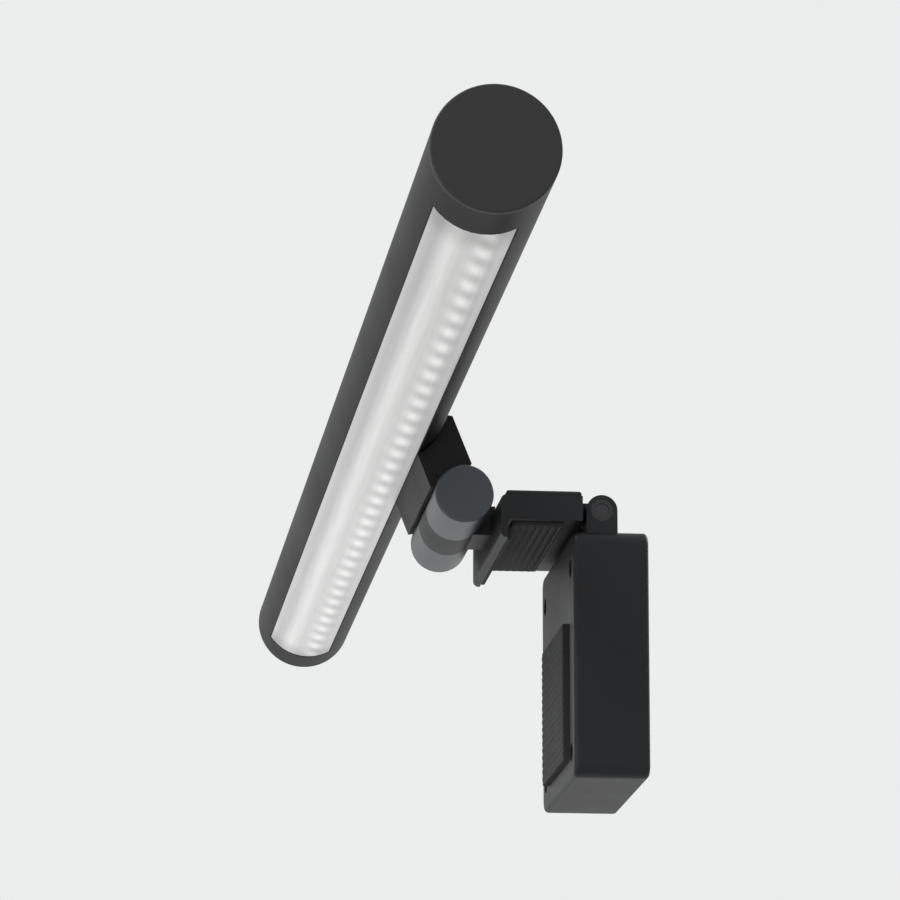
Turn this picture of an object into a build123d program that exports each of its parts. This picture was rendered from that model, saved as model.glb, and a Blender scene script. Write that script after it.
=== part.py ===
"""Monitor light bar: a slotted aluminium tube lamp on a clip that hooks over a screen's top edge.

Frame in millimetres: +X along the bar, +Y from the user towards the back of the screen, +Z up.
The origin is the middle of the rest pad's underside, where the clip stands on the screen's top edge.
"""

import os
from math import cos, radians, sin

from build123d import *

# Screen that the clip is set to
screen_front = -9.0
screen_thickness = 12.0

# Lamp tube
bar_length = 448.0
tube_radius = 12.0
tube_wall = 1.2
tube_y = -35.0
tube_z = 26.0
window_length = 418.0
window_angle = 85.0
window_lean = 13.5
lens_recess = 0.1
lens_thickness = 1.0
lens_flange = 4.5

# Ends of the tube
cap_thickness = 1.6
cap_edge = 0.4
plug_thickness = 5.0
plug_recess = 1.3
spigot_radius = 9.9

# Light engine inside the tube, measured in the window's own tilted frame
rail_height = 1.5
rail_thickness = 1.6
boss_radius = 2.2
boss_spread = 6.0
engine_length = 420.0
board_thickness = 1.0
led_board_width = 8.0
led_offset = 4.2
led_size = 3.2
led_height = 0.8
led_pitch = 11.8
led_count = 35
reflector_sheet = 0.4
driver_length = 60.0
driver_width = 6.8
insulator_thickness = 0.4
wire_radius = 0.6
wire_reach = 24.0

# Inlet at the tube's back
socket_width = 8.94
socket_height = 3.16
socket_wall = 0.3
socket_depth = 7.3
socket_rise = 4.5
bezel_width = 14.0
bezel_height = 6.0
bezel_depth = 3.2
bezel_proud = 0.6

# Tilting shaft and the saddle that rides on it
shaft_radius = 6.4
shaft_y = -19.2
shaft_z = 6.5
shaft_length = 55.0
shaft_end = 1.3
ring_width = 16.0
keeper_radius = 4.0
shaft_pin_radius = 2.0
neck_low = -5.0
neck_high = 1.5
saddle_length = 50.0
saddle_front_angle = -60.5
saddle_back_angle = -7.5
saddle_screw_x = 20.0
saddle_screw_angle = -33.0
magnet_x = 9.0
magnet_radius = 3.0
magnet_thickness = 2.5
magnet_recess = 0.5

# Clip body over the screen's edge
clip_width = 55.0
lip_thickness = 1.5
lip_pad_thickness = 0.8
lip_drop = 3.0
rest_pad_thickness = 1.0
rest_pad_width = 50.0
rest_pad_margin = 0.4
shelf_height = 5.5
cover_thickness = 1.2
cover_screw_x = 19.0
cover_screw_y = -2.0
lip_round = 1.2

# Rear arm and its hinge
hinge_setback = 6.5
hinge_clearance = 4.4
hinge_z = 3.75
hinge_pin_radius = 1.5
knuckle_radius = 3.6
knuckle_width = 40.0
bush_radius = 2.4
ear_radius = 3.4
ear_width = 5.6
arm_width = 55.0
rear_pad_thickness = 1.5
arm_front_depth = 10.1
arm_back_depth = 6.4
arm_top = -1.0
arm_bottom = -55.0
arm_wall = 1.6
arm_corner = 3.0
arm_edge = 1.0
weight_width = 38.0
weight_top = -14.0
weight_gap = 0.8
arm_screw_x = 22.0
arm_screw_low = -49.0
arm_screw_high = -8.5
arm_post = 2.6
rear_pad_width = 36.0
rear_pad_low = -50.0
rear_pad_high = -20.0

# Fasteners
screw_radius = 1.0
screw_head_radius = 1.8
screw_head = 1.2

# Fits
seat_gap = 0.05
running_gap = 0.06
side_gap = 0.3

tube_inner = tube_radius - tube_wall
engine_radius = tube_inner - seat_gap
tube_length = bar_length - 2 * cap_thickness
rail_length = tube_length - 2 * (plug_thickness + seat_gap)
shelf_top = rest_pad_thickness + shelf_height
lip_back = screen_front - lip_pad_thickness
lip_front = lip_back - lip_thickness
rear_pad_face = screen_front + screen_thickness
arm_front = rear_pad_face + rear_pad_thickness
arm_split = arm_front + arm_front_depth
arm_back_y = arm_split + arm_back_depth
hinge_y = arm_front + hinge_setback
shelf_rear = hinge_y - hinge_clearance
rail_top = rail_height + rail_thickness
boss_height = rail_top + boss_radius - 0.1
led_face = rail_height - board_thickness
socket_z = tube_z + socket_rise
sides = {"left": -1, "right": 1}


def side_plane(x):
    """Plane across the bar at x, whose own axes are Y and Z."""
    return Plane(origin=(x, 0, 0), x_dir=(0, 1, 0), z_dir=(1, 0, 0))


def round_plane(x, y, z, lean=0.0):
    """The same plane centred on (y, z), leaned back by an angle about the bar."""
    x_dir = (0, cos(radians(lean)), -sin(radians(lean)))
    return Plane(origin=(x, y, z), x_dir=x_dir, z_dir=(1, 0, 0))


def tube_plane(x):
    return round_plane(x, tube_y, tube_z, window_lean)


def back_plane(y, z=socket_z, x=0.0):
    """Upright plane that faces backwards."""
    return Plane(origin=(x, y, z), x_dir=(1, 0, 0), z_dir=(0, 1, 0))


def radial_plane(x, angle, distance, centre):
    """Plane square to a ray from centre, at an angle from straight back and a distance along it."""
    ray = (0, cos(radians(angle)), sin(radians(angle)))
    origin = (x, centre[0] + distance * ray[1], centre[1] + distance * ray[2])
    return Plane(origin=origin, x_dir=(1, 0, 0), z_dir=ray)


def save(piece, name):
    piece.label = name
    export_step(piece, f"parts/{name}.step")


def wedge(half_angle, reach=3 * tube_radius):
    """Keeps what lies within half_angle of the window's middle."""
    across = reach * sin(radians(half_angle))
    down = -reach * cos(radians(half_angle))
    Polygon((0, 0), (-across, down), (across, down), align=None, mode=Mode.INTERSECT)


def tube_sector(length, outer, inner, half_angle, mode=Mode.ADD):
    """Curved strip of the tube's wall, centred on the window."""
    with BuildSketch(tube_plane(-length / 2)) as strip:
        Circle(outer)
        Circle(inner, mode=Mode.SUBTRACT)
        wedge(half_angle)
    extrude(strip.sketch, amount=length, mode=mode)


def bar_cylinder(x, y, z, radius, length, mode=Mode.ADD):
    """Cylinder along the bar from x, centred on (y, z)."""
    with BuildSketch(round_plane(x, y, z)) as disc:
        Circle(radius)
    extrude(disc.sketch, amount=length, mode=mode)


def block(x_size, y_range, z_range, mode=Mode.ADD, x=0.0):
    """Box of width x_size about x, between two Y and two Z values."""
    middle = (x, sum(y_range) / 2, sum(z_range) / 2)
    with Locations(middle):
        Box(x_size, y_range[1] - y_range[0], z_range[1] - z_range[0], mode=mode)


def rod(plane, radius, length, mode=Mode.ADD):
    """Cylinder that starts on a plane and runs along its normal."""
    with BuildSketch(plane) as disc:
        Circle(radius)
    extrude(disc.sketch, amount=length, mode=mode)


def screw(plane, length):
    """Pan-head screw whose head's underside lies on a plane that faces the thread."""
    rod(plane, screw_radius, length)
    rod(plane.offset(-screw_head), screw_head_radius, screw_head)


os.makedirs("parts", exist_ok=True)

# Lamp tube with the window slot below and the inlet's opening at the back
with BuildPart() as tube_housing:
    with BuildSketch(tube_plane(-tube_length / 2)):
        Circle(tube_radius)
        Circle(tube_inner, mode=Mode.SUBTRACT)
    extrude(amount=tube_length)
    tube_sector(window_length, tube_radius + 2, tube_inner - 2, window_angle / 2, Mode.SUBTRACT)
    with BuildSketch(back_plane(tube_y + tube_inner - 2)):
        SlotOverall(bezel_width + 2 * seat_gap, bezel_height + 2 * seat_gap)
    extrude(amount=tube_wall + 4, mode=Mode.SUBTRACT)
    for side in (-1, 1):
        hole = radial_plane(side * saddle_screw_x, saddle_screw_angle, tube_inner - 1, (tube_y, tube_z))
        rod(hole, screw_radius + seat_gap, tube_wall + 2, Mode.SUBTRACT)
save(tube_housing.part, "tube_housing")

# Diffuser: its flange sits behind the slot's edges and its face fills the slot
lens_side = seat_gap / tube_radius * 57.3
with BuildPart() as window_lens:
    tube_sector(
        window_length + 6, engine_radius, engine_radius - lens_thickness, window_angle / 2 + lens_flange
    )
    tube_sector(
        window_length - 2 * seat_gap,
        tube_radius - lens_recess,
        engine_radius - lens_thickness,
        window_angle / 2 - lens_side,
    )
save(window_lens.part, "window_lens")

# Rail that carries the boards across the tube and takes the end screws
with BuildPart() as carrier_rail:
    with BuildSketch(tube_plane(-rail_length / 2)):
        Circle(engine_radius)
        with Locations((0, rail_height + rail_thickness / 2)):
            Rectangle(3 * tube_radius, rail_thickness, mode=Mode.INTERSECT)
        with Locations((-boss_spread, boss_height), (boss_spread, boss_height)):
            Circle(boss_radius)
            Circle(screw_radius + seat_gap, mode=Mode.SUBTRACT)
    extrude(amount=rail_length)
    socket_room = (tube_y + tube_radius - socket_depth - 1, tube_y + tube_radius)
    socket_half = bezel_height / 2 + 0.3
    block(bezel_width + 1, socket_room, (socket_z - socket_half, socket_z + socket_half), Mode.SUBTRACT)
    wire_slot_x = driver_length / 2 + wire_reach
    with BuildSketch(tube_plane(wire_slot_x - 2)):
        with Locations((led_offset - 2, rail_top)):
            Rectangle(5, 2 * rail_thickness + 2)
    extrude(amount=4, mode=Mode.SUBTRACT)
save(carrier_rail.part, "carrier_rail")

with BuildPart() as led_board:
    with BuildSketch(tube_plane(-engine_length / 2)):
        with Locations((led_offset, led_face + board_thickness / 2)):
            Rectangle(led_board_width, board_thickness)
    extrude(amount=engine_length)
save(led_board.part, "led_board")

led_x = [(i - (led_count - 1) / 2) * led_pitch for i in range(led_count)]
with BuildPart() as led_packages:
    for x in led_x:
        with BuildSketch(tube_plane(x - led_size / 2)):
            with Locations((led_offset, led_face - led_height / 2)):
                Rectangle(led_size, led_height)
        extrude(amount=led_size)
save(led_packages.part, "led_packages")

# White reflector: a sheet under the board with a window for each light, and a wall at each side
sheet_front = -9.3
sheet_back = 7.9
with BuildPart() as reflector:
    with BuildSketch(tube_plane(-engine_length / 2)):
        Polygon(
            (sheet_front, led_face),
            (sheet_back + reflector_sheet, led_face),
            (sheet_back - 0.6, -3.5),
            (sheet_back - 0.6 - reflector_sheet, -3.5),
            (sheet_back, led_face - reflector_sheet),
            (sheet_front + reflector_sheet, led_face - reflector_sheet),
            (sheet_front + 1.2, -5.0),
            (sheet_front + 1.2 - reflector_sheet, -5.0),
            align=None,
        )
    extrude(amount=engine_length)
    for x in led_x:
        with BuildSketch(tube_plane(x - led_size / 2 - 0.2)):
            with Locations((led_offset, led_face)):
                Rectangle(led_size + 0.4, 2 * reflector_sheet + 0.2)
        extrude(amount=led_size + 0.4, mode=Mode.SUBTRACT)
save(reflector.part, "reflector")

# Driver electronics lie between the rail's two screw channels
board_low = rail_top + insulator_thickness
board_high = board_low + board_thickness


def on_rail(x, across, low, length, width, height):
    """Box that stands on the rail: centred on x and across, from low upwards."""
    with BuildSketch(tube_plane(x - length / 2)) as outline:
        with Locations((across, low + height / 2)):
            Rectangle(width, height)
    extrude(outline.sketch, amount=length)


with BuildPart() as insulator_strip:
    on_rail(0, 0, rail_top, driver_length + 4, driver_width, insulator_thickness)
save(insulator_strip.part, "insulator_strip")

with BuildPart() as driver_board:
    on_rail(0, 0, board_low, driver_length, driver_width, board_thickness)
save(driver_board.part, "driver_board")

with BuildPart() as driver_components:
    on_rail(-8, 0, board_high, 5, 5, 1.2)
    on_rail(2, 0, board_high, 6, 6, 2.8)
    on_rail(14, -1.2, board_high, 3.2, 2.5, 1.4)
    on_rail(20, 0.8, board_high, 4.5, 4, 2)
    on_rail(-19, 0, board_high, 7, 5.5, 2.4)
save(driver_components.part, "driver_components")

# Two leads run along the rail and turn down through its slot to the light board
lead_height = board_low + wire_radius
with BuildPart() as lead_wires:
    for across in (led_offset - 3.2, led_offset - 1.4):
        start = driver_length / 2
        end = wire_slot_x
        plane = tube_plane(0)
        corners = [(start, lead_height), (end, lead_height), (end, rail_height)]
        points = [plane.origin + plane.x_dir * across + plane.y_dir * v + Vector(x, 0, 0) for x, v in corners]
        with BuildLine():
            FilletPolyline(*points, radius=1.2)
        with BuildSketch(Plane(origin=points[0], z_dir=(1, 0, 0))):
            Circle(wire_radius)
        sweep()
save(lead_wires.part, "lead_wires")

# Inlet: a metal shell with its tongue, in a plastic bezel
socket_back = tube_y + tube_radius + bezel_proud - 0.2 - socket_depth
with BuildPart() as usb_socket:
    with BuildSketch(back_plane(socket_back)):
        SlotOverall(socket_width, socket_height)
    extrude(amount=socket_depth)
    with BuildSketch(back_plane(socket_back + 1)):
        SlotOverall(socket_width - 2 * socket_wall, socket_height - 2 * socket_wall)
    extrude(amount=socket_depth, mode=Mode.SUBTRACT)
    with BuildSketch(back_plane(socket_back + 0.5)):
        Rectangle(6.0, 0.7)
    extrude(amount=5.0)
save(usb_socket.part, "usb_socket")

with BuildPart() as socket_bezel:
    with BuildSketch(back_plane(tube_y + tube_radius + bezel_proud - bezel_depth)):
        SlotOverall(bezel_width, bezel_height)
        SlotOverall(socket_width + 2 * seat_gap, socket_height + 2 * seat_gap, mode=Mode.SUBTRACT)
    extrude(amount=bezel_depth)
    fillet(socket_bezel.faces().sort_by(Axis.Y)[-1].edges(), 0.3)
save(socket_bezel.part, "socket_bezel")

# Both ends: a plug screwed to the rail and a flush cap glued over it
for name, side in sides.items():
    outer_face = side * tube_length / 2
    with BuildPart() as end_plug:
        with BuildSketch(tube_plane(outer_face)):
            Circle(engine_radius)
        extrude(amount=-side * plug_thickness)
        with BuildSketch(tube_plane(outer_face)):
            Circle(spigot_radius + 0.1)
        extrude(amount=-side * plug_recess, mode=Mode.SUBTRACT)
        with BuildSketch(tube_plane(outer_face)):
            with Locations((-boss_spread, boss_height), (boss_spread, boss_height)):
                Circle(screw_radius + 0.1)
        extrude(amount=-side * plug_thickness, mode=Mode.SUBTRACT)
        with BuildSketch(tube_plane(outer_face)):
            with Locations((-boss_spread, boss_height), (boss_spread, boss_height)):
                Circle(screw_head_radius + 0.1)
        extrude(amount=-side * (plug_recess + screw_head + 0.2), mode=Mode.SUBTRACT)
    save(end_plug.part, f"end_plug_{name}")

    with BuildPart() as end_cap:
        with BuildSketch(tube_plane(outer_face)):
            Circle(tube_radius)
        extrude(amount=side * cap_thickness)
        outer_edge = end_cap.faces().sort_by(Axis.X)[-1 if side > 0 else 0].edges()
        fillet(outer_edge, cap_edge)
        with BuildSketch(tube_plane(outer_face)):
            Circle(spigot_radius)
        extrude(amount=-side * (plug_recess - 0.1))
    save(end_cap.part, f"end_cap_{name}")

with BuildPart() as end_screws:
    for side in (-1, 1):
        head_seat = side * (tube_length / 2 - plug_recess - screw_head - 0.2)
        plane = tube_plane(head_seat)
        for across in (-boss_spread, boss_spread):
            centre = plane.origin + plane.x_dir * across + plane.y_dir * boss_height
            screw(Plane(origin=centre, z_dir=(-side, 0, 0)), 10.0)
save(end_screws.part, "end_screws")

# Saddle between the tube and the shaft, with a round seat on each
def from_tube(distance, angle):
    """Point at a distance from the tube's axis, at an angle from straight back."""
    return distance * cos(radians(angle)), distance * sin(radians(angle))


shaft_dy = shaft_y - tube_y
shaft_dz = shaft_z - tube_z
with BuildPart() as saddle:
    with BuildSketch(round_plane(-saddle_length / 2, tube_y, tube_z)):
        Polygon(
            from_tube(tube_radius - 1.0, saddle_front_angle),
            (shaft_dy - 7.2, shaft_dz + 1.7),
            (shaft_dy - 2.8, shaft_dz + 2.5),
            (shaft_dy + 1.8, shaft_dz + 7.2),
            from_tube(tube_radius + 1.5, saddle_back_angle),
            from_tube(tube_radius - 1.5, saddle_back_angle),
            align=None,
        )
        Circle(tube_radius + seat_gap, mode=Mode.SUBTRACT)
        with Locations((shaft_dy, shaft_dz)):
            Circle(shaft_radius + running_gap, mode=Mode.SUBTRACT)
    extrude(amount=saddle_length)
    for side in (-1, 1):
        hole = radial_plane(side * saddle_screw_x, saddle_screw_angle, tube_radius - 2, (tube_y, tube_z))
        rod(hole, screw_radius + 0.02, 7.2, Mode.SUBTRACT)
        pocket = radial_plane(side * magnet_x, 129.0, shaft_radius - 1, (shaft_y, shaft_z))
        depth = 1 + running_gap + magnet_recess + magnet_thickness + seat_gap
        rod(pocket, magnet_radius + seat_gap, depth, Mode.SUBTRACT)
save(saddle.part, "saddle")

with BuildPart() as magnets:
    for side in (-1, 1):
        start = shaft_radius + running_gap + magnet_recess
        rod(radial_plane(side * magnet_x, 129.0, start, (shaft_y, shaft_z)), magnet_radius, magnet_thickness)
save(magnets.part, "magnets")

with BuildPart() as saddle_screws:
    for side in (-1, 1):
        head_seat = tube_inner - 0.6
        screw(
            radial_plane(side * saddle_screw_x, saddle_screw_angle, head_seat, (tube_y, tube_z)),
            tube_wall + 5.4,
        )
save(saddle_screws.part, "saddle_screws")

# Clip bracket: lip in front of the screen, shelf over it, ring for the shaft, knuckle for the arm
with BuildPart() as bracket:
    block(clip_width, (lip_front, shelf_rear), (rest_pad_thickness, shelf_top))
    block(clip_width, (lip_front, lip_back), (-lip_drop, shelf_top))
    front_edges = bracket.edges().filter_by(Axis.X).group_by(Axis.Y)[0]
    fillet(front_edges, lip_round)
    block(ring_width, (shaft_y, lip_front + 1), (shaft_z + neck_low, shaft_z + neck_high))
    bar_cylinder(-ring_width / 2, shaft_y, shaft_z, shaft_radius, ring_width)
    bar_cylinder(-ring_width / 2, shaft_y, shaft_z, shaft_pin_radius + seat_gap, ring_width, Mode.SUBTRACT)
    block(knuckle_width, (shelf_rear - 1, hinge_y), (rest_pad_thickness, hinge_z + knuckle_radius - 0.85))
    bar_cylinder(-knuckle_width / 2, hinge_y, hinge_z, knuckle_radius, knuckle_width)
    bar_cylinder(
        -knuckle_width / 2, hinge_y, hinge_z, hinge_pin_radius + 0.02, knuckle_width, Mode.SUBTRACT
    )
    for side in (-1, 1):
        x = side * cover_screw_x
        floor = Plane(origin=(x, cover_screw_y, rest_pad_thickness))
        rod(floor, screw_head_radius + 0.2, screw_head + 0.2, Mode.SUBTRACT)
        rod(floor, screw_radius + 0.1, shelf_height, Mode.SUBTRACT)
        rod(floor.offset(2.4), boss_radius + 0.1, shelf_height, Mode.SUBTRACT)
save(bracket.part, "bracket")

with BuildPart() as bracket_cover:
    block(clip_width - 1, (lip_front + lip_round, shelf_rear - 0.2), (shelf_top, shelf_top + cover_thickness))
    fillet(bracket_cover.faces().sort_by(Axis.Z)[-1].edges(), 0.8)
    for side in (-1, 1):
        top = Plane(origin=(side * cover_screw_x, cover_screw_y, shelf_top))
        rod(top.offset(-3.0), boss_radius, 3.0)
        rod(top.offset(-3.0), screw_radius + 0.02, 3.3, Mode.SUBTRACT)
save(bracket_cover.part, "bracket_cover")

with BuildPart() as cover_screws:
    for side in (-1, 1):
        seat = rest_pad_thickness + screw_head + 0.2
        screw(Plane(origin=(side * cover_screw_x, cover_screw_y, seat)), 4.0)
save(cover_screws.part, "cover_screws")

with BuildPart() as rest_pad:
    pad_front = screen_front + rest_pad_margin
    pad_rear = rear_pad_face - rest_pad_margin
    block(rest_pad_width, (pad_front, pad_rear), (0, rest_pad_thickness))
save(rest_pad.part, "rest_pad")

with BuildPart() as lip_pad:
    block(rest_pad_width, (lip_back, screen_front), (-lip_drop, 0))
save(lip_pad.part, "lip_pad")

# Shaft: two barrels either side of the bracket's ring, on one pin
with BuildPart() as shaft_pin:
    shaft_pin_length = shaft_length - 2 * shaft_end
    bar_cylinder(-shaft_pin_length / 2, shaft_y, shaft_z, shaft_pin_radius, shaft_pin_length)
save(shaft_pin.part, "shaft_pin")

barrel_length = (shaft_length - ring_width) / 2 - shaft_end
for name, side in sides.items():
    inner = side * ring_width / 2
    low = min(inner, inner + side * barrel_length)
    with BuildPart() as shaft_barrel:
        bar_cylinder(low, shaft_y, shaft_z, shaft_radius, barrel_length)
        bar_cylinder(low, shaft_y, shaft_z, keeper_radius, barrel_length, Mode.SUBTRACT)
    save(shaft_barrel.part, f"shaft_barrel_{name}")

    with BuildPart() as keeper_sleeve:
        bar_cylinder(low, shaft_y, shaft_z, keeper_radius - seat_gap, barrel_length)
        bar_cylinder(low, shaft_y, shaft_z, shaft_pin_radius + seat_gap, barrel_length, Mode.SUBTRACT)
    save(keeper_sleeve.part, f"keeper_sleeve_{name}")

    with BuildPart() as shaft_end_cap:
        with BuildSketch(round_plane(inner + side * barrel_length, shaft_y, shaft_z)):
            Circle(shaft_radius)
        extrude(amount=side * shaft_end)
        fillet(shaft_end_cap.faces().sort_by(Axis.X)[-1 if side > 0 else 0].edges(), 0.5)
    save(shaft_end_cap.part, f"shaft_end_{name}")

# Rear arm: two half shells around a steel weight, hung on the hinge pin
screw_places = [(x, z) for x in (-arm_screw_x, arm_screw_x) for z in (arm_screw_low, arm_screw_high)]


def arm_half(half, y_range, open_high):
    """Half of the arm's shell, hollow towards the split."""
    block(arm_width, y_range, (arm_bottom, arm_top))
    fillet(half.edges().filter_by(Axis.Y), arm_corner)
    outer_face = half.faces().sort_by(Axis.Y)[0 if open_high else -1]
    fillet(outer_face.edges(), arm_edge)
    hollow = (y_range[0] + arm_wall, y_range[1]) if open_high else (y_range[0], y_range[1] - arm_wall)
    block(arm_width - 2 * arm_wall, hollow, (arm_bottom + arm_wall, arm_top - arm_wall), Mode.SUBTRACT)


ear_middle = (knuckle_width / 2 + side_gap) + ear_width / 2
with BuildPart() as arm_front_shell:
    arm_half(arm_front_shell, (arm_front, arm_split), True)
    for side in (-1, 1):
        ear_low = side * ear_middle - ear_width / 2
        ear_depth = (hinge_y - ear_radius, hinge_y + ear_radius)
        block(ear_width, ear_depth, (arm_top - 1, hinge_z), x=side * ear_middle)
        bar_cylinder(ear_low, hinge_y, hinge_z, ear_radius, ear_width)
        bar_cylinder(ear_low, hinge_y, hinge_z, bush_radius + 0.02, ear_width, Mode.SUBTRACT)
    for x, z in screw_places:
        front = back_plane(arm_front, z, x)
        rod(front.offset(arm_wall - 0.5), arm_post, arm_split - arm_front - arm_wall + 0.5)
        rod(front, screw_radius + 0.1, arm_split, Mode.SUBTRACT)
        rod(front, screw_head_radius + 0.2, 4.0, Mode.SUBTRACT)
save(arm_front_shell.part, "arm_front_shell")

with BuildPart() as arm_back_cover:
    arm_half(arm_back_cover, (arm_split, arm_back_y), False)
    for x, z in screw_places:
        split = back_plane(arm_split, z, x)
        rod(split, arm_post, arm_back_y - arm_split - arm_wall + 0.5)
        rod(split, screw_radius + 0.02, 4.2, Mode.SUBTRACT)
save(arm_back_cover.part, "arm_back_cover")

with BuildPart() as arm_screws:
    for x, z in screw_places:
        screw(back_plane(arm_front + 4.0, z, x), 10.0)
save(arm_screws.part, "arm_screws")

with BuildPart() as counterweight:
    weight_y = (arm_front + arm_wall + seat_gap, arm_back_y - arm_wall - seat_gap)
    block(weight_width, weight_y, (arm_bottom + arm_wall + seat_gap, weight_top))
    fillet(counterweight.edges().filter_by(Axis.Z), weight_gap)
save(counterweight.part, "counterweight")

with BuildPart() as rear_pad:
    block(rear_pad_width, (rear_pad_face, arm_front), (rear_pad_low, rear_pad_high))
    fillet(rear_pad.edges().filter_by(Axis.Y), 1.5)
save(rear_pad.part, "rear_pad")

with BuildPart() as hinge_pin:
    pin_length = 2 * (ear_middle + ear_width / 2) - 0.6
    bar_cylinder(-pin_length / 2, hinge_y, hinge_z, hinge_pin_radius, pin_length)
save(hinge_pin.part, "hinge_pin")

with BuildPart() as hinge_bushes:
    for side in (-1, 1):
        ear_low = side * ear_middle - ear_width / 2
        bar_cylinder(ear_low, hinge_y, hinge_z, bush_radius, ear_width)
        bar_cylinder(ear_low, hinge_y, hinge_z, hinge_pin_radius + running_gap, ear_width, Mode.SUBTRACT)
save(hinge_bushes.part, "hinge_bushes")
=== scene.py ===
import math

import bpy
import numpy as np
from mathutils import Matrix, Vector


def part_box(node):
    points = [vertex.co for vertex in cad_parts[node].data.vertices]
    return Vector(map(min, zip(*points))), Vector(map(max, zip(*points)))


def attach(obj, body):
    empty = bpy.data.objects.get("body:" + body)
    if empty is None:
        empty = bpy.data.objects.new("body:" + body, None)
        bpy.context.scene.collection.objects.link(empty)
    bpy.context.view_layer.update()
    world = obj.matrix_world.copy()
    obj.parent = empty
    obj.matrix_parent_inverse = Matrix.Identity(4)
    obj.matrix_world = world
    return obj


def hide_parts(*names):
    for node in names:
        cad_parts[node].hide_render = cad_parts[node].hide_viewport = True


# A monitor light bar: the looks of a slotted tube lamp on its clip. Lengths are in metres.

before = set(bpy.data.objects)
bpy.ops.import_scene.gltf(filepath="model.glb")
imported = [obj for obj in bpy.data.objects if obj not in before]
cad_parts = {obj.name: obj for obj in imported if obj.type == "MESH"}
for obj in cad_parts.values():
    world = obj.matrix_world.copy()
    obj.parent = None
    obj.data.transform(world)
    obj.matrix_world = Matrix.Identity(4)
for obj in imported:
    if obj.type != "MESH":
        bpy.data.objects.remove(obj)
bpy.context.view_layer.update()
mm = 0.001


print("frame loaded")

# What the window is fitted to
tubeLow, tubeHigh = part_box("tube_housing")
tube = {
    "y": (tubeLow.y + tubeHigh.y) / 2,
    "z": (tubeLow.z + tubeHigh.z) / 2,
    "radius": (tubeHigh.z - tubeLow.z) / 2,
}


# sRGB hex to linear RGBA
def hexColor(code):
    values = [int(code[i:i + 2], 16) / 255 for i in (1, 3, 5)]
    return [v / 12.92 if v <= 0.04045 else ((v + 0.055) / 1.055) ** 2.4 for v in values] + [1.0]


# Adds a node. Each input is a node, whose first live output is linked, or a socket to link, or a value.
def addNode(tree, kind, inputs=None, **settings):
    node = tree.nodes.new(kind)
    for key, value in settings.items():
        setattr(node, key, value)
    for key, value in (inputs or {}).items():
        if isinstance(value, bpy.types.Node):
            value = next(output for output in value.outputs if output.enabled)
        if isinstance(value, bpy.types.NodeSocket):
            tree.links.new(value, node.inputs[key])
        else:
            node.inputs[key].default_value = value
    return node


def newMaterial(name):
    material = bpy.data.materials.new(name)
    material.use_nodes = True
    material.node_tree.nodes.clear()
    return material, material.node_tree


# Object coordinates, scaled along each axis
def objectPattern(tree, scale):
    place = addNode(tree, "ShaderNodeTexCoord").outputs["Object"]
    return addNode(tree, "ShaderNodeMapping", {"Vector": place, "Scale": scale})


# What a finish has unless its own dictionary says otherwise
plainFinish = {
    "stretch": (1, 1, 1),   # below 1 draws the grain out along that axis
    "cloud": 14,            # mm across one soft cloud of colour and gloss
    "metal": 0.0,
    "specular": 0.5,
    "ior": 1.5,
    "grainDetail": 3.0,
    "grainRoughness": 0.6,
    "cloudDetail": 2.0,
    "bumpDepth": 0.5,       # depth of the bumps as a share of the grain
}


# Grain mixes the colour with grainColor and bumps the surface; broad clouds mix in cloudColor and carry
# the roughness from the first to the second value of rough.
def grainedFinish(name, ownValues):
    finish = {**plainFinish, **ownValues}
    material, tree = newMaterial(name)
    grain = finish["grain"] * mm
    fine = addNode(tree, "ShaderNodeTexNoise", {
        "Vector": objectPattern(tree, [1 / grain * s for s in finish["stretch"]]),
        "Scale": 1.0, "Detail": finish["grainDetail"], "Roughness": finish["grainRoughness"]})
    cloud = addNode(tree, "ShaderNodeTexNoise", {
        "Vector": objectPattern(tree, (1, 1, 1)),
        "Scale": 1 / (finish["cloud"] * mm), "Detail": finish["cloudDetail"]})
    grained = addNode(tree, "ShaderNodeMix", {
        "Factor": fine, "A": hexColor(finish["color"]), "B": hexColor(finish["grainColor"])},
        data_type="RGBA")
    clouded = addNode(tree, "ShaderNodeMix", {
        "Factor": cloud, "A": grained, "B": hexColor(finish["cloudColor"])},
        data_type="RGBA")
    rough = addNode(tree, "ShaderNodeMapRange", {
        "Value": cloud, "To Min": finish["rough"][0], "To Max": finish["rough"][1]})
    bump = addNode(tree, "ShaderNodeBump", {
        "Height": fine, "Strength": finish["bump"], "Distance": grain * finish["bumpDepth"]})
    shader = addNode(tree, "ShaderNodeBsdfPrincipled", {
        "Base Color": clouded, "Roughness": rough, "Normal": bump, "Metallic": finish["metal"],
        "Specular IOR Level": finish["specular"], "IOR": finish["ior"]})
    addNode(tree, "ShaderNodeOutputMaterial", {"Surface": shader})
    return material


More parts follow.
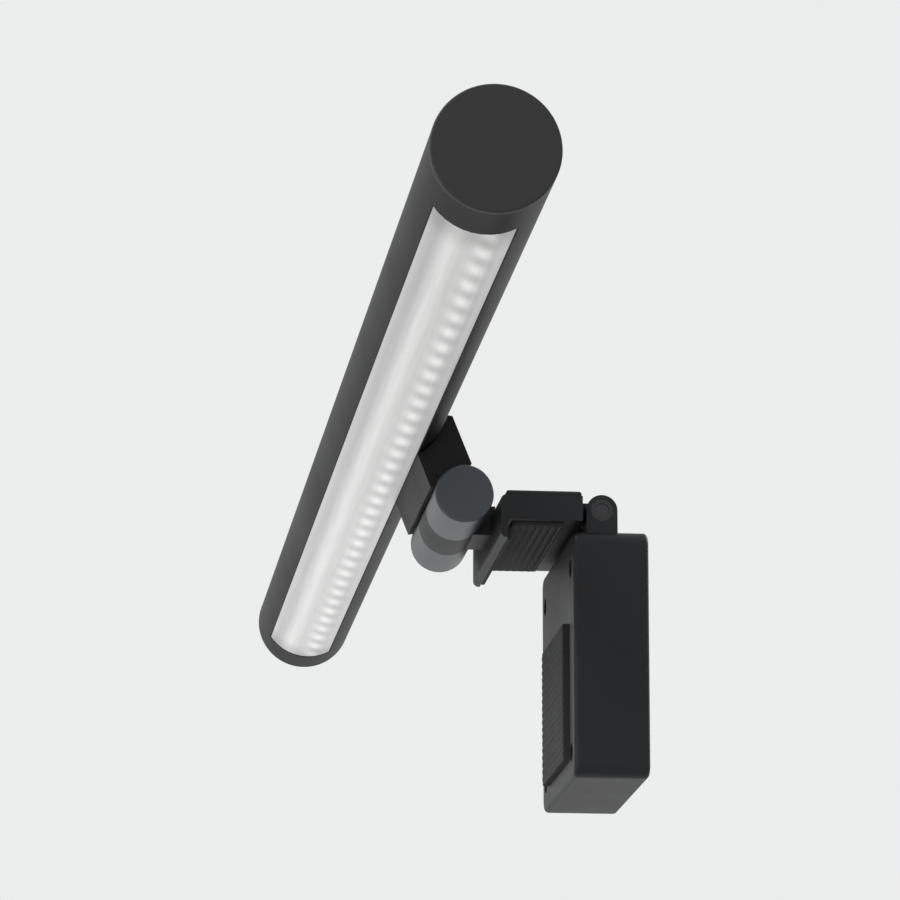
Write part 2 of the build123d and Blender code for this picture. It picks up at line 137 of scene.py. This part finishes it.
# One dictionary for each finish. The grain is the size drawn, in mm. Blasted, moulded and brushed faces
# really have 0.02 to 0.1 mm, which is too fine to show, so they are drawn coarser.
finishes = {
    # Extruded aluminium, blasted and anodised black: matt, with faint lines along the bar
    "anodisedBlackAluminium": {
        "color": "#070708", "grainColor": "#0d0d0e", "cloudColor": "#09090a",
        "grain": 0.3, "stretch": (0.25, 1, 1), "cloud": 30,
        "rough": (0.42, 0.52), "bump": 0.2, "specular": 0.25, "ior": 1.3},
    # Injection-moulded ABS from a spark-eroded mould: a matt dark grey disc with 0.1 mm grit, drawn at 0.35
    "mouldedCapAbs": {
        "color": "#2d2d2e", "grainColor": "#363637", "cloudColor": "#313131",
        "grain": 0.35, "rough": (0.5, 0.62), "bump": 0.35, "specular": 0.25},
    # Injection-moulded ABS, same grit, for the clip and the rear arm: near black with a low sheen
    "mouldedClipAbs": {
        "color": "#151618", "grainColor": "#1e1f21", "cloudColor": "#191a1c",
        "grain": 0.4, "rough": (0.42, 0.54), "bump": 0.4, "specular": 0.25},
    # Injection-moulded ABS, same grit, for saddle, bezel and plugs: a deeper black with less sheen than the
    # clip's.
    # That extra darkness is painted shade: the saddle lies in the tube's shadow.
    "saddleAbsPaintedShade": {
        "color": "#0c0c0d", "grainColor": "#131314", "cloudColor": "#0f0f10",
        "grain": 0.4, "rough": (0.45, 0.56), "bump": 0.4, "specular": 0.2},
    # ABS moulded against polished steel: satin blue-grey
    "satinShaftAbs": {
        "color": "#363c40", "grainColor": "#3d4347", "cloudColor": "#393f43",
        "grain": 0.3, "rough": (0.32, 0.42), "bump": 0.15},
    # Moulded silicone rubber: dull, slightly dusty
    "mouldedSilicone": {
        "color": "#2b2b2c", "grainColor": "#333334", "cloudColor": "#303031",
        "grain": 0.25, "rough": (0.68, 0.82), "bump": 0.3, "specular": 0.3, "ior": 1.41},
    # Carbon steel, blackened and oiled: dark metal with a soft sheen
    "blackenedSteel": {
        "color": "#3a3a3c", "grainColor": "#4a4a4c", "cloudColor": "#424244",
        "grain": 0.2, "metal": 1.0, "rough": (0.3, 0.42), "bump": 0.1},
    # Drawn stainless steel shell: bright, with streaks along the way it was drawn
    "drawnStainless": {
        "color": "#b9babd", "grainColor": "#c6c7c9", "cloudColor": "#bebfc1",
        "grain": 0.15, "stretch": (1, 0.1, 1), "metal": 1.0, "rough": (0.22, 0.3), "bump": 0.08},
    # Steel tube, zinc-plated: pale grey with a soft shine
    "zincSteel": {
        "color": "#a9acae", "grainColor": "#b6b9ba", "cloudColor": "#afb2b3",
        "grain": 0.5, "metal": 1.0, "rough": (0.3, 0.42), "bump": 0.1},
    # Sand-cast iron: dark and grainy, at about its real grain
    "castIron": {
        "color": "#4b4a4a", "grainColor": "#5a5858", "cloudColor": "#52504f",
        "grain": 0.9, "metal": 1.0, "rough": (0.55, 0.7), "bump": 0.6},
    # Nickel plated over sintered magnets: smooth, bright and slightly warm
    "nickelPlate": {
        "color": "#cfcbc2", "grainColor": "#d6d2c9", "cloudColor": "#cac6bd",
        "grain": 0.4, "metal": 1.0, "rough": (0.14, 0.2), "bump": 0.04},
    # Extruded aluminium left as it comes from the mill: dull silver with lines along the rail
    "millAluminium": {
        "color": "#b4b6b8", "grainColor": "#c4c6c8", "cloudColor": "#bcbec0",
        "grain": 0.25, "stretch": (0.05, 1, 1), "metal": 1.0, "rough": (0.32, 0.44), "bump": 0.2},
    # White solder mask printed on glass-epoxy laminate: an even satin white
    "whiteSolderMask": {
        "color": "#dfe1dd", "grainColor": "#e7e9e5", "cloudColor": "#e2e4e0",
        "grain": 0.5, "rough": (0.34, 0.42), "bump": 0.08},
    # Silicone mixed with phosphor, cast over each light: half-matt yellow
    "phosphorSilicone": {
        "color": "#e6d27a", "grainColor": "#eedc8a", "cloudColor": "#e2cc70",
        "grain": 0.2, "rough": (0.5, 0.6), "bump": 0.1, "ior": 1.41},
    # White PET sheet, hot-pressed to shape: a bright satin white
    "whiteReflectorPet": {
        "color": "#e9eaea", "grainColor": "#eff0f0", "cloudColor": "#ececec",
        "grain": 0.4, "rough": (0.3, 0.4), "bump": 0.05, "ior": 1.57},
    # Cast polyimide film: smooth amber with a clear shine
    "polyimideFilm": {
        "color": "#a5742b", "grainColor": "#ad7c33", "cloudColor": "#9e6d26",
        "grain": 0.6, "rough": (0.22, 0.3), "bump": 0.05, "ior": 1.7},
    # Transfer-moulded epoxy of the driver's parts: matt black
    "epoxyMoulding": {
        "color": "#1a1a1b", "grainColor": "#222223", "cloudColor": "#1d1d1e",
        "grain": 0.2, "rough": (0.5, 0.6), "bump": 0.2},
    # Extruded PVC covering of the leads: smooth red with a low shine
    "redPvc": {
        "color": "#9a1f1c", "grainColor": "#a32724", "cloudColor": "#931b18",
        "grain": 0.6, "rough": (0.34, 0.44), "bump": 0.08, "ior": 1.53},
    # Turned black acetal: slightly waxy
    "blackAcetal": {
        "color": "#1b1b1b", "grainColor": "#222222", "cloudColor": "#1e1e1e",
        "grain": 0.5, "rough": (0.3, 0.38), "bump": 0.05, "ior": 1.48},
}
materials = {name: grainedFinish(name, finish) for name, finish in finishes.items()}
print("finishes made")

nodeFinish = {
    "anodisedBlackAluminium": ["tube_housing"],
    "mouldedCapAbs": ["end_cap_left", "end_cap_right"],
    "mouldedClipAbs": ["bracket", "bracket_cover", "arm_front_shell", "arm_back_cover"],
    # The saddle, bezel and plugs take the darker copy of the moulding, whose darkness is painted shade
    "saddleAbsPaintedShade": ["saddle", "socket_bezel", "end_plug_left", "end_plug_right"],
    "satinShaftAbs": ["shaft_barrel_left", "shaft_barrel_right", "shaft_end_left", "shaft_end_right"],
    "mouldedSilicone": ["rest_pad", "lip_pad", "rear_pad"],
    "blackenedSteel": ["end_screws", "saddle_screws", "cover_screws", "arm_screws", "shaft_pin", "hinge_pin"],
    "drawnStainless": ["usb_socket"],
    "zincSteel": ["keeper_sleeve_left", "keeper_sleeve_right"],
    "castIron": ["counterweight"],
    "nickelPlate": ["magnets"],
    "millAluminium": ["carrier_rail"],
    "whiteSolderMask": ["led_board", "driver_board"],
    "phosphorSilicone": ["led_packages"],
    "whiteReflectorPet": ["reflector"],
    "polyimideFilm": ["insulator_strip"],
    "epoxyMoulding": ["driver_components"],
    "redPvc": ["lead_wires"],
    "blackAcetal": ["hinge_bushes"],
}
for finish, names in nodeFinish.items():
    for name in names:
        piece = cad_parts[name]
        piece.data.materials.clear()
        piece.data.materials.append(materials[finish])
print("frame pieces finished")


def newPiece(name, points, faces):
    mesh = bpy.data.meshes.new(name)
    mesh.from_pydata(points.reshape(-1, 3).tolist(), [], faces)
    piece = bpy.data.objects.new(name, mesh)
    bpy.context.scene.collection.objects.link(piece)
    return piece


# Four-sided faces between neighbours in a grid of point numbers
def gridFaces(index):
    return np.stack([index[:-1, :-1], index[:-1, 1:], index[1:, 1:], index[1:, :-1]], -1).reshape(-1, 4)


# A piece from an array of points (rows, columns, 3). closeAcross joins the last column to the first,
# and caps fills the first and the last row.
def gridPiece(name, points, uv=None, closeAcross=False, caps=False):
    rows, cols = points.shape[:2]
    index = np.arange(rows * cols).reshape(rows, cols)
    ends = [index[0, ::-1].tolist(), index[-1].tolist()] if caps else []
    if closeAcross:
        index = np.hstack([index, index[:, :1]])
    piece = newPiece(name, points, gridFaces(index).tolist() + ends)
    mesh = piece.data
    if uv is not None:
        layer = mesh.uv_layers.new(name="UVMap")
        corner = np.empty(len(mesh.loops), dtype=np.int64)
        mesh.loops.foreach_get("vertex_index", corner)
        layer.data.foreach_set("uv", uv.reshape(-1, 2)[corner].ravel())
    mesh.validate()
    return piece


# Smooth shading, with an edge kept sharp where its faces meet at more than the angle, in degrees
def smoothFaces(piece, angle):
    piece.data.polygons.foreach_set("use_smooth", np.ones(len(piece.data.polygons), dtype=bool))
    piece.data.set_sharp_from_angle(angle=math.radians(angle))


# Flips the faces where the enclosed volume, the sum of each triangle's triple product, is negative
def turnOutwards(piece):
    mesh = piece.data
    mesh.calc_loop_triangles()
    spots = np.empty(len(mesh.vertices) * 3)
    mesh.vertices.foreach_get("co", spots)
    triangles = np.empty(len(mesh.loop_triangles) * 3, dtype=np.int64)
    mesh.loop_triangles.foreach_get("vertices", triangles)
    corner = spots.reshape(-1, 3)[triangles.reshape(-1, 3)]
    volume = np.einsum("ij,ij->i", corner[:, 0], np.cross(corner[:, 1], corner[:, 2])).sum()
    if volume < 0:
        mesh.flip_normals()


# The lit window is a ribbed diffuser that fills the tube's slot. Its angles are in degrees.
window = {
    "lean": 13.5,             # its middle leans forward of straight down
    "halfAngle": 42.25,       # from its middle to each edge
    "length": 417.9 * mm,
    "recess": 0.12 * mm,      # below the tube's surface
    "thickness": 1.9 * mm,
    "ribPitch": 0.62 * mm,    # lengthwise prisms on the outer face
    "ribHeight": 0.05 * mm,
    "edgeRound": 0.25 * mm,
    "endBevel": 0.15 * mm,    # depth of the bevel at each end, which is as long as edgeRound
    "facePoints": 281,        # about ten to a rib
    "backPoints": 41,
    "sharpAngle": 50,
    # Its light from the front edge, 0, to the back edge, 1: brightest over the reflector's focus, 0.36,
    # and over the row of lights, 0.7
    "bands": [
        (0.0, "#c4c4c4"), (0.05, "#c2c2c2"), (0.14, "#b2b2b2"), (0.21, "#c0c0c0"), (0.29, "#dcdcdb"),
        (0.36, "#e2e2e1"), (0.43, "#d0d0cf"), (0.52, "#c6c6c5"), (0.62, "#d4d4d3"), (0.7, "#dededd"),
        (0.8, "#c0c0bf"), (0.86, "#b4b4b4"), (0.92, "#c4c4c3"), (1.0, "#b0b0af")],
    "strength": 0.86,
    "ledPitch": 11.8 * mm,
    "ledLean": 17.5,          # degrees behind the window's middle
    "ledWidth": 9.5,          # degrees over which one light shows
    "ledSkew": 0.3 * mm,      # shift along the bar per degree
    "ledRise": 0.24,          # how much brighter a light's middle is
    "streaksPerMetre": 28.0,  # along the bar, so a streak is about 36 mm long
    "streaksPerDegree": 0.22,
    "streakLow": 0.88,        # share of the light in the darkest streak
    "streakSpan": 0.24,
    "streakDetail": 2.0,
    "endDark": 2 * mm,        # nearer to the end than this, the light is at endShare
    "endBright": 15 * mm,     # from here on it is full
    "endShare": 0.72,
    "color": "#3c3c3c",       # of the frosted surface itself, unlit
    "rough": 0.42,
    "specular": 0.3,
    "ior": 1.58,
    "grain": 0.3 * mm,        # really about 0.05 mm, drawn coarser so that it shows
    "grainDetail": 2.0,
    "bump": 0.15,
    "bumpDepth": 0.1 * mm,
}


# Outer face: radius less recess plus ribs, which are ribHeight times |sin| of the distance across, and
# it drops by a square law at both edges. Inner face: an arc one thickness in from the outer one. The
# closed profile is carried straight along the bar, a little smaller at its ends.
def windowPoints():
    outer = tube["radius"] - window["recess"]
    half = math.radians(window["halfAngle"])
    across = np.linspace(-half, half, window["facePoints"])
    edge = (half - np.abs(across)) * outer
    rounding = window["edgeRound"] * np.clip(1 - edge / window["edgeRound"], 0, 1) ** 2
    ribs = window["ribHeight"] * np.abs(np.sin(np.pi * across * outer / window["ribPitch"]))
    face = outer - window["ribHeight"] + ribs - rounding
    back = np.linspace(half, -half, window["backPoints"])
    angle = np.concatenate([across, back])
    radius = np.concatenate([face, np.full(len(back), outer - window["thickness"])])
    down = -math.pi / 2 - math.radians(window["lean"]) + angle
    along = window["length"] / 2 * np.array([-1, -1, 1, 1]) + window["edgeRound"] * np.array([0, 1, -1, 0])
    bevel = window["endBevel"] * np.array([1, 0, 0, 1])
    x, r = np.meshgrid(along, radius, indexing="ij")
    r = r - bevel[:, None]
    y = tube["y"] + r * np.cos(down)
    z = tube["z"] + r * np.sin(down)
    uv = np.stack([x, np.degrees(np.broadcast_to(angle, x.shape))], -1)
    return np.stack([x, y, z], -1), uv


# Extruded polycarbonate, frosted and lit from behind: a soft white with brighter bands along it, where
# each light shows as a faint slanting bump. U is metres along the bar and V is degrees across.
def frostedWindowMaterial():
    material, tree = newMaterial("frostedPolycarbonate")
    place = addNode(tree, "ShaderNodeUVMap", uv_map="UVMap")
    split = addNode(tree, "ShaderNodeSeparateXYZ", {"Vector": place})
    along, across = split.outputs["X"], split.outputs["Y"]

    # Bands: the share of the way is 0 at the front edge and 1 at the back edge
    share = addNode(tree, "ShaderNodeMath", {0: across, 1: 1 / (2 * window["halfAngle"]), 2: 0.5},
                    operation="MULTIPLY_ADD")
    ramp = addNode(tree, "ShaderNodeValToRGB", {"Fac": share})
    ramp.color_ramp.interpolation = "B_SPLINE"
    stops = ramp.color_ramp.elements
    for spot, code in window["bands"][1:-1]:
        stops.new(spot).color = hexColor(code)
    stops[0].color = hexColor(window["bands"][0][1])
    stops[-1].color = hexColor(window["bands"][-1][1])

    # Lights: 1 + ledRise * cos(2 pi (x + skew) / pitch) * exp(-(degrees from the row / width)^2)
    skewed = addNode(tree, "ShaderNodeMath", {0: across, 1: window["ledSkew"], 2: along},
                     operation="MULTIPLY_ADD")
    phase = addNode(tree, "ShaderNodeMath", {0: skewed, 1: 2 * math.pi / window["ledPitch"]},
                    operation="MULTIPLY")
    wave = addNode(tree, "ShaderNodeMath", {0: phase}, operation="COSINE")
    offRow = addNode(tree, "ShaderNodeMath", {0: across, 1: window["ledLean"]}, operation="SUBTRACT")
    offWidths = addNode(tree, "ShaderNodeMath", {0: offRow, 1: window["ledWidth"]}, operation="DIVIDE")
    squared = addNode(tree, "ShaderNodeMath", {0: offWidths, 1: offWidths}, operation="MULTIPLY")
    negative = addNode(tree, "ShaderNodeMath", {0: squared, 1: -1.0}, operation="MULTIPLY")
    fade = addNode(tree, "ShaderNodeMath", {0: negative}, operation="EXPONENT")
    spots = addNode(tree, "ShaderNodeMath", {0: wave, 1: fade}, operation="MULTIPLY")
    lights = addNode(tree, "ShaderNodeMath", {0: spots, 1: window["ledRise"], 2: 1.0},
                     operation="MULTIPLY_ADD")

    # Streaks: uneven light in noise that is stretched along the bar
    streakX = addNode(tree, "ShaderNodeMath", {0: along, 1: window["streaksPerMetre"]},
                      operation="MULTIPLY")
    streakY = addNode(tree, "ShaderNodeMath", {0: across, 1: window["streaksPerDegree"]},
                      operation="MULTIPLY")
    stretched = addNode(tree, "ShaderNodeCombineXYZ", {"X": streakX, "Y": streakY})
    streaks = addNode(tree, "ShaderNodeTexNoise", {
        "Vector": stretched, "Scale": 1.0, "Detail": window["streakDetail"]})
    uneven = addNode(tree, "ShaderNodeMath", {0: streaks, 1: window["streakSpan"], 2: window["streakLow"]},
                     operation="MULTIPLY_ADD")

    # Ends: the light falls off smoothly past the ends of the row
    distance = addNode(tree, "ShaderNodeMath", {0: along}, operation="ABSOLUTE")
    fromEnd = addNode(tree, "ShaderNodeMath", {0: window["length"] / 2, 1: distance}, operation="SUBTRACT")
    ends = addNode(tree, "ShaderNodeMapRange", {
        "Value": fromEnd, "From Min": window["endDark"], "From Max": window["endBright"],
        "To Min": window["endShare"], "To Max": 1.0}, interpolation_type="SMOOTHSTEP")

    mottled = addNode(tree, "ShaderNodeMath", {0: lights, 1: uneven}, operation="MULTIPLY")
    light = addNode(tree, "ShaderNodeMath", {0: mottled, 1: ends}, operation="MULTIPLY")
    lit = addNode(tree, "ShaderNodeVectorMath", {0: ramp, "Scale": light}, operation="SCALE")
    frost = addNode(tree, "ShaderNodeTexNoise", {
        "Vector": objectPattern(tree, (1, 1, 1)),
        "Scale": 1 / window["grain"], "Detail": window["grainDetail"]})
    bump = addNode(tree, "ShaderNodeBump", {
        "Height": frost, "Strength": window["bump"], "Distance": window["bumpDepth"]})
    shader = addNode(tree, "ShaderNodeBsdfPrincipled", {
        "Base Color": hexColor(window["color"]), "Roughness": window["rough"], "IOR": window["ior"],
        "Specular IOR Level": window["specular"], "Emission Color": lit,
        "Emission Strength": window["strength"], "Normal": bump})
    addNode(tree, "ShaderNodeOutputMaterial", {"Surface": shader})
    return material


points, uv = windowPoints()
glowWindow = gridPiece("glow_window", points, uv, closeAcross=True, caps=True)
turnOutwards(glowWindow)
smoothFaces(glowWindow, window["sharpAngle"])
glowWindow.data.materials.append(frostedWindowMaterial())
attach(glowWindow, "lamp")
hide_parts("window_lens")
print("window made")

# The silicone pads have raised ribs on the face that touches the screen
padRibs = {
    "pitch": 1.6 * mm,
    "height": 0.25 * mm,
    "edge": 0.3 * mm,      # drop at the outline
    "rimSlope": 14.0,      # the ribs reach full height at 1/14 of the way from the outline to the middle
    "points": 121,         # along each side of the face
    "sharpAngle": 40,
}


# A block whose outer face is a height field of round-topped ribs. Below the flat face it lies at
# height * (1 - |sin(pi * distance across / pitch)|) * rim + edge * (1 - rim)^2,
# where rim rises from 0 at the outline to 1. face is the axis number, 1 to 3, that the ribs face along,
# negative for the low side.
def ribbedPad(name, node, body, face, ribs):
    low, high = (np.array(c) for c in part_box(node))
    axis = abs(face) - 1
    u, v = [i for i in range(3) if i != axis]
    count = ribs["points"]
    side = np.linspace(-1, 1, count)
    a, b = np.meshgrid(side, side, indexing="ij")
    half = (high - low) / 2
    middle = (high + low) / 2
    rim = np.clip((1 - np.maximum(np.abs(a), np.abs(b))) * ribs["rimSlope"], 0, 1)
    wave = np.abs(np.sin(np.pi * (b * half[v]) / ribs["pitch"]))
    sink = ribs["height"] * (1 - wave) * rim + ribs["edge"] * (1 - rim) ** 2
    sign = math.copysign(1, face)
    top = np.empty(a.shape + (3,))
    top[..., u] = middle[u] + a * half[u]
    top[..., v] = middle[v] + b * half[v]
    top[..., axis] = middle[axis] + sign * (half[axis] - sink)
    bottom = top.copy()
    bottom[..., axis] = middle[axis] - sign * half[axis]
    index = np.arange(count * count).reshape(count, count)
    under = index.size                        # added to a top point's number, gives the one below it
    quads = gridFaces(index.T)
    ring = np.concatenate([index[:-1, 0], index[-1, :-1], index[:0:-1, -1], index[0, :0:-1]])
    after = np.roll(ring, -1)
    walls = np.stack([ring, ring + under, after + under, after], -1)
    faces = np.vstack([quads, quads[:, ::-1] + under, walls]).tolist()
    piece = newPiece(name, np.stack([top, bottom]), faces)
    turnOutwards(piece)
    smoothFaces(piece, ribs["sharpAngle"])
    piece.data.materials.append(materials["mouldedSilicone"])
    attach(piece, body)
    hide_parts(node)


ribbedPad("ribbed_rear_pad", "rear_pad", "rear_arm", -2, padRibs)
ribbedPad("ribbed_rest_pad", "rest_pad", "clip", -3, padRibs)
print("pads made")

# Pan-head screws of the rear arm, with a cross recess
armScrew = {
    "headRadius": 1.8 * mm,
    "headHeight": 1.2 * mm,
    "rimShare": 0.45,           # of the head's height, which its edge reaches
    "shankRadius": 1.0 * mm,
    "shankLength": 10.0 * mm,
    "pointLength": 0.3 * mm,
    "pointShare": 0.6,          # of the shank's radius, at the tip
    "recessHalf": 0.95 * mm,    # half the length of each arm of the cross
    "recessWidth": 0.26 * mm,   # half the width of each arm
    "recessDepth": 0.6 * mm,
    "recessEndSlope": 0.15 * mm,
    "recessSideSlope": 0.08 * mm,
    "turnPoints": 64,
    "rings": 22,                # over the dome, before the two at its edge
    "firstRing": 0.02,          # share of the head's radius
    "lastRing": 0.97,
    "sharpAngle": 40,
}


# Rings from the head's middle outwards, then down the shank. The head's top is a shallow dome,
# headHeight * (rimShare + (1 - rimShare) * sqrt(1 - (r / R)^4)), with two crossed troughs sunk into it.
# The head faces -Y and the shank runs along +Y.
def panHeadPoints(centre):
    headRadius, shankRadius = armScrew["headRadius"], armScrew["shankRadius"]
    turn = np.linspace(0, 2 * np.pi, armScrew["turnPoints"], endpoint=False)
    rings = np.linspace(armScrew["firstRing"], armScrew["lastRing"], armScrew["rings"])
    out = np.concatenate([rings, [1.0, 1.0]]) * headRadius
    r, t = np.meshgrid(out, turn, indexing="ij")
    a, b = r * np.cos(t), r * np.sin(t)
    share = np.clip(r / headRadius, 0, 1)
    dome = armScrew["rimShare"] + (1 - armScrew["rimShare"]) * np.sqrt(1 - share ** 4)
    top = armScrew["headHeight"] * dome

    # 1 on the floor of one arm of the cross and 0 outside it
    def trough(along, aside):
        inLength = np.clip((armScrew["recessHalf"] - np.abs(along)) / armScrew["recessEndSlope"], 0, 1)
        inWidth = np.clip((armScrew["recessWidth"] - np.abs(aside)) / armScrew["recessSideSlope"], 0, 1)
        return inLength * inWidth

    top = top - armScrew["recessDepth"] * np.maximum(trough(a, b), trough(b, a))
    top[-1] = 0.0
    tip = -armScrew["shankLength"]
    depths = np.array([0.0, tip + armScrew["pointLength"], tip])
    radii = shankRadius * np.array([1.0, 1.0, armScrew["pointShare"]])
    a = np.vstack([a, radii[:, None] * np.cos(turn)])
    b = np.vstack([b, radii[:, None] * np.sin(turn)])
    height = np.vstack([top, np.repeat(depths[:, None], len(turn), axis=1)])
    return np.stack([centre[0] + a, centre[1] - height, centre[2] + b], -1)


screwLow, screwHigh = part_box("arm_screws")
seatY = screwHigh.y - armScrew["shankLength"]
places = [(x, seatY, z)
          for x in (screwLow.x + armScrew["headRadius"], screwHigh.x - armScrew["headRadius"])
          for z in (screwLow.z + armScrew["headRadius"], screwHigh.z - armScrew["headRadius"])]
for number, place in enumerate(places, 1):
    screw = gridPiece(f"arm_screw_{number}", panHeadPoints(place), closeAcross=True, caps=True)
    turnOutwards(screw)
    smoothFaces(screw, armScrew["sharpAngle"])
    screw.data.materials.append(materials["blackenedSteel"])
    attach(screw, "rear_arm")
    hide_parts("arm_screws")
print("arm screws made")

studio = {
    "white": "#eceded",
    "ambient": 0.55,         # the surroundings' strength on what the camera doesn't see directly
    "floorColor": "#dddedf",
    "floorRough": 0.9,
    "floorSpecular": 0.1,
    "floorZ": -1.5,
    "floorHalf": 90.0,
    "floorPlain": 0.92,      # how much of the floor is plain white where it is seen; the rest takes shadow
    "cameraAt": (1.058, -0.132, -0.223),
    "lookAt": (0.0, -0.0195, 0.0224),
    "lens": 196.0,
    "farClip": 300,
    "lampAim": (0, 0, 0),
    "lamps": {
        "key": {"place": (0.6, -1.3, 1.4), "size": 0.8, "power": 30},
        "back": {"place": (-0.9, 1.4, 1.0), "size": 0.9, "power": 22},
        "low": {"place": (1.2, -0.9, -0.5), "size": 0.5, "power": 4},
    },
}


# Adds a lamp or a camera that stands at a place and looks at the target
def addAimed(name, data, place, target):
    aimed = bpy.data.objects.new(name, data)
    aimed.location = place
    aimed.rotation_euler = (Vector(target) - Vector(place)).to_track_quat("-Z", "Y").to_euler()
    bpy.context.scene.collection.objects.link(aimed)
    return aimed


# The share on rays from the camera, on reflections and through glass, and 0 on all others
def seenDirectly(tree, share):
    path = addNode(tree, "ShaderNodeLightPath").outputs
    either = addNode(tree, "ShaderNodeMath", {0: path["Is Camera Ray"], 1: path["Is Glossy Ray"]},
                     operation="MAXIMUM")
    anyRay = addNode(tree, "ShaderNodeMath", {0: either, 1: path["Is Transmission Ray"]}, operation="MAXIMUM")
    return addNode(tree, "ShaderNodeMath", {0: anyRay, 1: share}, operation="MULTIPLY")


def makeFloor():
    half = studio["floorHalf"]
    x, y = np.meshgrid([-half, half], [-half, half])
    floor = gridPiece("floor", np.stack([x, y, np.full(x.shape, studio["floorZ"])], -1))
    material, tree = newMaterial("paleFloor")
    matt = addNode(tree, "ShaderNodeBsdfPrincipled", {
        "Base Color": hexColor(studio["floorColor"]), "Roughness": studio["floorRough"],
        "Specular IOR Level": studio["floorSpecular"]})
    plain = addNode(tree, "ShaderNodeEmission", {"Color": hexColor(studio["white"]), "Strength": 1.0})
    both = addNode(tree, "ShaderNodeMixShader", {
        0: seenDirectly(tree, studio["floorPlain"]), 1: matt, 2: plain})
    addNode(tree, "ShaderNodeOutputMaterial", {"Surface": both})
    floor.data.materials.append(material)


def makeSky():
    world = bpy.data.worlds.new("studio")
    bpy.context.scene.world = world
    world.use_nodes = True
    tree = world.node_tree
    tree.nodes.clear()
    level = addNode(tree, "ShaderNodeMapRange", {
        "Value": seenDirectly(tree, 1.0), "To Min": studio["ambient"], "To Max": 1.0})
    sky = addNode(tree, "ShaderNodeBackground", {"Color": hexColor(studio["white"]), "Strength": level})
    addNode(tree, "ShaderNodeOutputWorld", {"Surface": sky})


def makeLamps():
    for name, lamp in studio["lamps"].items():
        data = bpy.data.lights.new(name, "AREA")
        data.shape = "DISK"
        data.size = lamp["size"]
        data.energy = lamp["power"]
        addAimed(name, data, lamp["place"], studio["lampAim"])


def makeCamera():
    data = bpy.data.cameras.new("camera")
    data.lens = studio["lens"]
    data.clip_end = studio["farClip"]
    bpy.context.scene.camera = addAimed("camera", data, studio["cameraAt"], studio["lookAt"])
    bpy.context.scene.view_settings.view_transform = "Standard"


makeFloor()
makeSky()
makeLamps()
makeCamera()
print("stage made")
